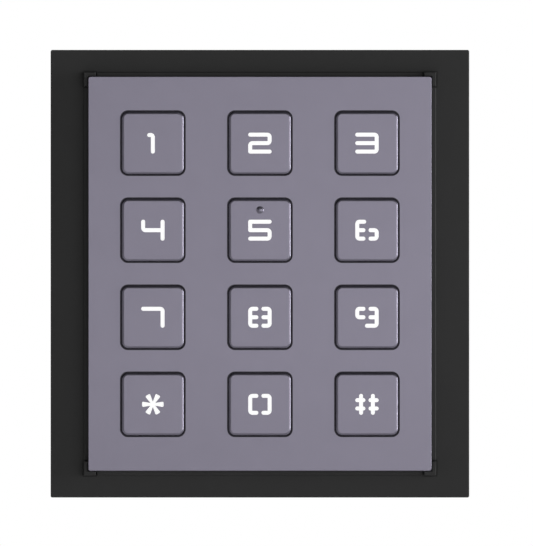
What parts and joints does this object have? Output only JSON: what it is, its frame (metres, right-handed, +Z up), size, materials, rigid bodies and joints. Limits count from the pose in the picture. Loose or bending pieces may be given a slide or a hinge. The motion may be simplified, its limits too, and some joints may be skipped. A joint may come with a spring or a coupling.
{
  "type": "keypad access reader",
  "caption": "Flush-mounting door-entry keypad module: square illuminated keys in a metal face plate on a black flange, deep rear housing with bus sockets.",
  "frame": {"origin": "centre of the flat back face of the rear housing", "axes": "+Z up as installed, keys facing -Y, +X to the right of someone facing the keys"},
  "size_m": [0.0936, 0.0322, 0.1002],
  "materials": {
    "satin_metal": "satin, fine-grained anodised",
    "light_guide": "milky translucent",
    "black_plastic": "fine moulded texture",
    "gasket_foam": "closed-cell foam",
    "silicone": "matt silicone",
    "spring_steel": "bright",
    "led_resin": "clear resin",
    "circuit_board": "solder mask",
    "connector_black": "moulded",
    "connector_white": "moulded",
    "chip_resin": "moulded epoxy",
    "capacitor_can": "bright can",
    "contact_gold": "gold flash",
    "switch_body": "moulded",
    "lever_white": "moulded",
    "label_film": "matt film",
    "cover_rubber": "matt",
    "screw_steel": "zinc plated"
  },
  "bodies": {
    "housing": {"front_plate": "satin_metal", "plate_gasket": "gasket_foam", "front_housing": "black_plastic", "key_mat": "silicone", "snap_domes": "spring_steel", "backlight_leds": "led_resin", "key_board": "circuit_board", "link_socket": "connector_black", "link_header": "connector_black", "interface_board": "circuit_board", "controller_chip": "chip_resin", "transceiver_chip": "chip_resin", "filter_capacitors": "capacitor_can", "bus_socket_in": "connector_white", "bus_socket_out": "connector_white", "bus_pins": "contact_gold", "address_switch": "switch_body", "blank_label": "label_film", "housing_seal": "silicone", "rear_housing": "black_plastic", "plate_screws": "screw_steel", "key_board_screws": "screw_steel", "interface_board_screws": "screw_steel", "housing_screws": "screw_steel"},
    "key_1_body": {"key_1": "satin_metal", "light_guide_1": "light_guide"},
    "key_2_body": {"key_2": "satin_metal", "light_guide_2": "light_guide"},
    "key_3_body": {"key_3": "satin_metal", "light_guide_3": "light_guide"},
    "key_4_body": {"key_4": "satin_metal", "light_guide_4": "light_guide"},
    "key_5_body": {"key_5": "satin_metal", "light_guide_5": "light_guide"},
    "key_6_body": {"key_6": "satin_metal", "light_guide_6": "light_guide"},
    "key_7_body": {"key_7": "satin_metal", "light_guide_7": "light_guide"},
    "key_8_body": {"key_8": "satin_metal", "light_guide_8": "light_guide"},
    "key_9_body": {"key_9": "satin_metal", "light_guide_9": "light_guide"},
    "key_star_body": {"key_star": "satin_metal", "light_guide_star": "light_guide"},
    "key_0_body": {"key_0": "satin_metal", "light_guide_0": "light_guide"},
    "key_hash_body": {"key_hash": "satin_metal", "light_guide_hash": "light_guide"},
    "address_lever_1_body": {"address_lever_1": "lever_white"},
    "address_lever_2_body": {"address_lever_2": "lever_white"},
    "address_lever_3_body": {"address_lever_3": "lever_white"},
    "address_lever_4_body": {"address_lever_4": "lever_white"},
    "address_cover_body": {"address_cover": "cover_rubber"}
  },
  "joints": [
    {"name": "key_1_press", "type": "slide", "parent": "housing", "child": "key_1_body", "axis": [0, 1, 0], "range_m": [0, 0.0007], "stiffness_N_per_m": 1500, "springref_m": -0.0005, "deforming": ["key_mat", "snap_domes"]},
    {"name": "key_2_press", "type": "slide", "parent": "housing", "child": "key_2_body", "axis": [0, 1, 0], "range_m": [0, 0.0007], "stiffness_N_per_m": 1500, "springref_m": -0.0005, "deforming": ["key_mat", "snap_domes"]},
    {"name": "key_3_press", "type": "slide", "parent": "housing", "child": "key_3_body", "axis": [0, 1, 0], "range_m": [0, 0.0007], "stiffness_N_per_m": 1500, "springref_m": -0.0005, "deforming": ["key_mat", "snap_domes"]},
    {"name": "key_4_press", "type": "slide", "parent": "housing", "child": "key_4_body", "axis": [0, 1, 0], "range_m": [0, 0.0007], "stiffness_N_per_m": 1500, "springref_m": -0.0005, "deforming": ["key_mat", "snap_domes"]},
    {"name": "key_5_press", "type": "slide", "parent": "housing", "child": "key_5_body", "axis": [0, 1, 0], "range_m": [0, 0.0007], "stiffness_N_per_m": 1500, "springref_m": -0.0005, "deforming": ["key_mat", "snap_domes"]},
    {"name": "key_6_press", "type": "slide", "parent": "housing", "child": "key_6_body", "axis": [0, 1, 0], "range_m": [0, 0.0007], "stiffness_N_per_m": 1500, "springref_m": -0.0005, "deforming": ["key_mat", "snap_domes"]},
    {"name": "key_7_press", "type": "slide", "parent": "housing", "child": "key_7_body", "axis": [0, 1, 0], "range_m": [0, 0.0007], "stiffness_N_per_m": 1500, "springref_m": -0.0005, "deforming": ["key_mat", "snap_domes"]},
    {"name": "key_8_press", "type": "slide", "parent": "housing", "child": "key_8_body", "axis": [0, 1, 0], "range_m": [0, 0.0007], "stiffness_N_per_m": 1500, "springref_m": -0.0005, "deforming": ["key_mat", "snap_domes"]},
    {"name": "key_9_press", "type": "slide", "parent": "housing", "child": "key_9_body", "axis": [0, 1, 0], "range_m": [0, 0.0007], "stiffness_N_per_m": 1500, "springref_m": -0.0005, "deforming": ["key_mat", "snap_domes"]},
    {"name": "key_star_press", "type": "slide", "parent": "housing", "child": "key_star_body", "axis": [0, 1, 0], "range_m": [0, 0.0007], "stiffness_N_per_m": 1500, "springref_m": -0.0005, "deforming": ["key_mat", "snap_domes"]},
    {"name": "key_0_press", "type": "slide", "parent": "housing", "child": "key_0_body", "axis": [0, 1, 0], "range_m": [0, 0.0007], "stiffness_N_per_m": 1500, "springref_m": -0.0005, "deforming": ["key_mat", "snap_domes"]},
    {"name": "key_hash_press", "type": "slide", "parent": "housing", "child": "key_hash_body", "axis": [0, 1, 0], "range_m": [0, 0.0007], "stiffness_N_per_m": 1500, "springref_m": -0.0005, "deforming": ["key_mat", "snap_domes"]},
    {"name": "address_lever_1_slide", "type": "slide", "parent": "housing", "child": "address_lever_1_body", "axis": [0, 0, 1], "range_m": [0, 0.0011]},
    {"name": "address_lever_2_slide", "type": "slide", "parent": "housing", "child": "address_lever_2_body", "axis": [0, 0, 1], "range_m": [0, 0.0011]},
    {"name": "address_lever_3_slide", "type": "slide", "parent": "housing", "child": "address_lever_3_body", "axis": [0, 0, 1], "range_m": [0, 0.0011]},
    {"name": "address_lever_4_slide", "type": "slide", "parent": "housing", "child": "address_lever_4_body", "axis": [0, 0, 1], "range_m": [0, 0.0011]},
    {"name": "address_cover_pull", "type": "slide", "parent": "housing", "child": "address_cover_body", "axis": [0, 1, 0], "range_m": [0, 0.02]}
  ]
}
